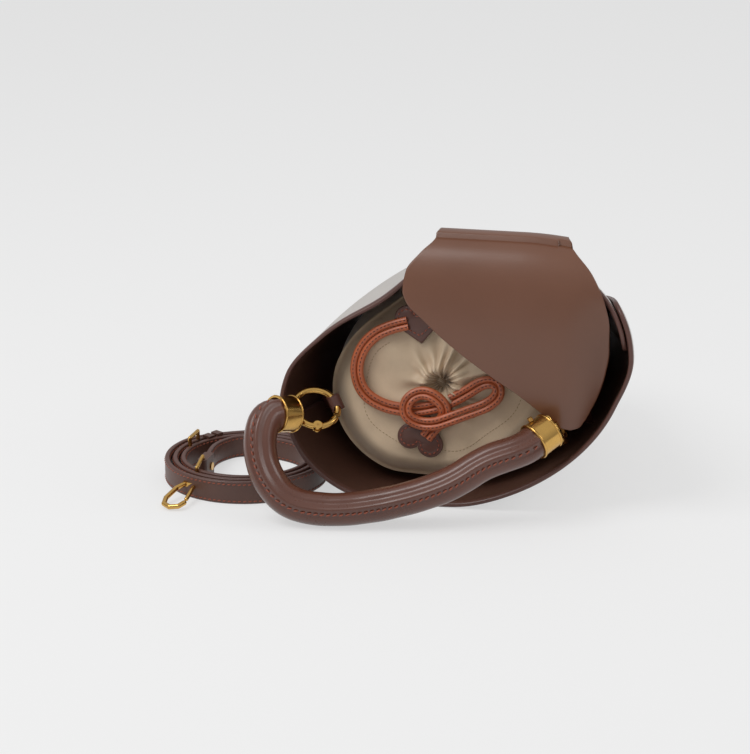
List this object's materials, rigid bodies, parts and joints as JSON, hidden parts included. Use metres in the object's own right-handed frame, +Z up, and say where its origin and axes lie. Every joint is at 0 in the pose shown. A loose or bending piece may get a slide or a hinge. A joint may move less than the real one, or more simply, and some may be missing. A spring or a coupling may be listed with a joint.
{
  "type": "bucket bag",
  "caption": "Leather bucket bag lying on its side, with a folded flap, drawstring pouch, padded handle on snap rings and a loose coiled shoulder strap with swivel hooks.",
  "frame": {"origin": "centre of the bag's and handle's box at floor level, without the cords and the strap", "axes": "+Z up from the floor, -Y towards the open mouth, +X to the right as seen looking into the mouth"},
  "size_m": [0.3007, 0.2356, 0.1715],
  "materials": {
    "shell_leather": "satin",
    "lining_leather": "matte",
    "board": "matte",
    "flap_leather": "satin",
    "pouch_suede": "matte",
    "trim_leather": "satin",
    "handle_filler": "matte",
    "cord_leather": "satin",
    "strap_leather": "satin",
    "gold_metal": "polished"
  },
  "bodies": {
    "bag": {"base_panel": "shell_leather", "base_board": "board", "base_lining": "lining_leather", "front_shell": "shell_leather", "back_shell": "shell_leather", "front_lining": "lining_leather", "back_lining": "lining_leather", "pouch_body": "pouch_suede", "pouch_top": "pouch_suede", "flap_root": "flap_leather", "left_tab": "trim_leather", "right_tab": "trim_leather", "drawstring_outer": "cord_leather", "drawstring_inner": "cord_leather", "drawstring_bow": "cord_leather", "drawstring_tail": "cord_leather", "drawstring_knot": "cord_leather", "upper_heart_tab": "trim_leather", "lower_heart_tab": "trim_leather"},
    "flap": {"flap": "flap_leather", "flap_lining": "flap_leather"},
    "handle": {"handle_core": "handle_filler", "handle_cover": "trim_leather", "left_ferrule": "gold_metal", "right_ferrule": "gold_metal", "left_ferrule_screw": "gold_metal", "right_ferrule_screw": "gold_metal", "left_ring": "gold_metal", "right_ring": "gold_metal", "left_gate_pin": "gold_metal", "right_gate_pin": "gold_metal"},
    "left_gate": {"left_ring_gate": "gold_metal"},
    "right_gate": {"right_ring_gate": "gold_metal"},
    "strap": {"buckle_frame": "gold_metal", "hook_bail_back": "gold_metal", "hook_bail_front": "gold_metal", "strap_buckle_run": "strap_leather", "strap_coil": "strap_leather", "strap_end_back": "strap_leather", "strap_end_front": "strap_leather", "strap_hook_run": "strap_leather", "strap_keeper_far": "strap_leather", "strap_keeper_near": "strap_leather", "strap_screw_back": "gold_metal", "strap_screw_front": "gold_metal", "strap_tail_run": "strap_leather"},
    "buckle_prong": {"buckle_prong": "gold_metal"},
    "hook_front": {"hook_body_front": "gold_metal", "hook_gate_pin_front": "gold_metal"},
    "gate_front": {"hook_gate_front": "gold_metal"},
    "hook_back": {"hook_body_back": "gold_metal", "hook_gate_pin_back": "gold_metal"},
    "gate_back": {"hook_gate_back": "gold_metal"}
  },
  "joints": [
    {"name": "handle_swing", "type": "hinge", "parent": "bag", "child": "handle", "pos_m": [-0.06358, -0.04737, 0.06022], "axis": [-0.9938, 0.1099, 0.0148], "range_deg": [0, 46], "deforming": ["left_tab", "right_tab"]},
    {"name": "flap_hinge", "type": "hinge", "parent": "bag", "child": "flap", "pos_m": [0.0492, -0.04585, 0.16627], "axis": [-0.9781, 0.2079, 0], "range_deg": [0, 115]},
    {"name": "left_ring_gate", "type": "hinge", "parent": "handle", "child": "left_gate", "pos_m": [-0.07483, -0.06454, 0.05036], "axis": [0.1733, -0.5734, 0.8007], "range_deg": [0, 22], "stiffness_Nm_per_rad": 0.01},
    {"name": "right_ring_gate", "type": "hinge", "parent": "handle", "child": "right_gate", "pos_m": [0.07026, -0.06506, 0.06589], "axis": [0.8502, -0.1386, 0.508], "range_deg": [0, 22], "stiffness_Nm_per_rad": 0.01},
    {"name": "strap_slide", "type": "slide", "parent": "bag", "child": "strap", "axis": [-1, 0, 0], "range_m": [0, 0.3]},
    {"name": "buckle_prong", "type": "hinge", "parent": "strap", "child": "buckle_prong", "pos_m": [-0.15588, 0.01028, 0.00755], "axis": [0, 0, -1], "range_deg": [0, 100]},
    {"name": "hook_swivel_front", "type": "hinge", "parent": "strap", "child": "hook_front", "pos_m": [-0.15287, -0.05016, 0.01075], "axis": [-0.4332, -0.8664, -0.2484], "continuous": true},
    {"name": "hook_gate_front", "type": "hinge", "parent": "hook_front", "child": "gate_front", "pos_m": [-0.15331, -0.05774, 0.00896], "axis": [0.1111, 0.2221, -0.9687], "range_deg": [0, 18], "stiffness_Nm_per_rad": 0.01},
    {"name": "hook_swivel_back", "type": "hinge", "parent": "strap", "child": "hook_back", "pos_m": [-0.05555, 0.05697, 0.01075], "axis": [0.2552, 0.9356, -0.2438], "continuous": true},
    {"name": "hook_gate_back", "type": "hinge", "parent": "hook_back", "child": "gate_back", "pos_m": [-0.0566, 0.0645, 0.00899], "axis": [-0.0642, -0.2352, -0.9698], "range_deg": [0, 18], "stiffness_Nm_per_rad": 0.01}
  ],
  "couplings": [
    {"joint": "flap_hinge", "follows": "handle_swing", "ratio": 2.2}
  ]
}
